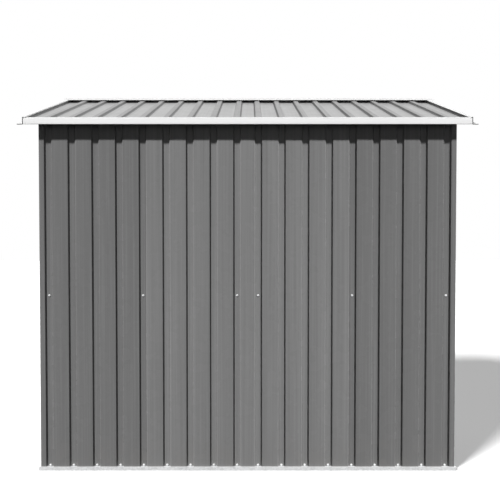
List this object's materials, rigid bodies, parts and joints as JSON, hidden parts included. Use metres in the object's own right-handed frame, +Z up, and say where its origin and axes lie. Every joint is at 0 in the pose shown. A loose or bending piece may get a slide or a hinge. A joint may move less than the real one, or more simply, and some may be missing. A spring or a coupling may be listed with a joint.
{
  "type": "metal storage shed",
  "caption": "Small gabled storage shed of ribbed grey sheet steel with white edge trims on a rail base, with closed sliding doors in one long wall and no floor.",
  "frame": {"origin": "on the ground under the middle of the shed", "axes": "+X along the ridge, -Y out of the plain long wall that the picture shows, +Y out of the doors, +Z up"},
  "size_m": [2.035, 1.321, 1.8415],
  "materials": {
    "grey_sheet": "satin grey paint on ribbed steel sheet",
    "white_trim": "satin white paint on folded steel strip",
    "galvanised_steel": "dull galvanised steel",
    "black_plastic": "matt black moulded plastic"
  },
  "bodies": {
    "root": {"back_wall_corner_left": "grey_sheet", "back_wall_corner_right": "grey_sheet", "back_wall_middle_left": "grey_sheet", "back_wall_middle_right": "grey_sheet", "base_rail_back": "galvanised_steel", "base_rail_front": "galvanised_steel", "base_rail_left": "galvanised_steel", "base_rail_right": "galvanised_steel", "door_feet": "black_plastic", "door_handles": "black_plastic", "door_jamb_left": "white_trim", "door_jamb_right": "white_trim", "door_left_frame": "white_trim", "door_left_sheet": "grey_sheet", "door_lintel": "white_trim", "door_right_frame": "white_trim", "door_right_sheet": "grey_sheet", "door_track": "galvanised_steel", "eave_trim_back": "white_trim", "eave_trim_front": "white_trim", "front_wall_left": "grey_sheet", "front_wall_right": "grey_sheet", "gable_trim_back_left": "white_trim", "gable_trim_back_right": "white_trim", "gable_trim_front_left": "white_trim", "gable_trim_front_right": "white_trim", "left_gable": "grey_sheet", "left_wall_back": "grey_sheet", "left_wall_front": "grey_sheet", "mid_rail_back": "galvanised_steel", "mid_rail_left": "galvanised_steel", "mid_rail_right": "galvanised_steel", "ridge_beam": "galvanised_steel", "ridge_cap": "white_trim", "right_gable": "grey_sheet", "right_wall_back": "grey_sheet", "right_wall_front": "grey_sheet", "roof_back_left": "grey_sheet", "roof_back_right": "grey_sheet", "roof_front_left": "grey_sheet", "roof_front_right": "grey_sheet", "top_rail_back": "galvanised_steel", "top_rail_front": "galvanised_steel", "top_rail_left": "galvanised_steel", "top_rail_right": "galvanised_steel"}
  },
  "joints": []
}
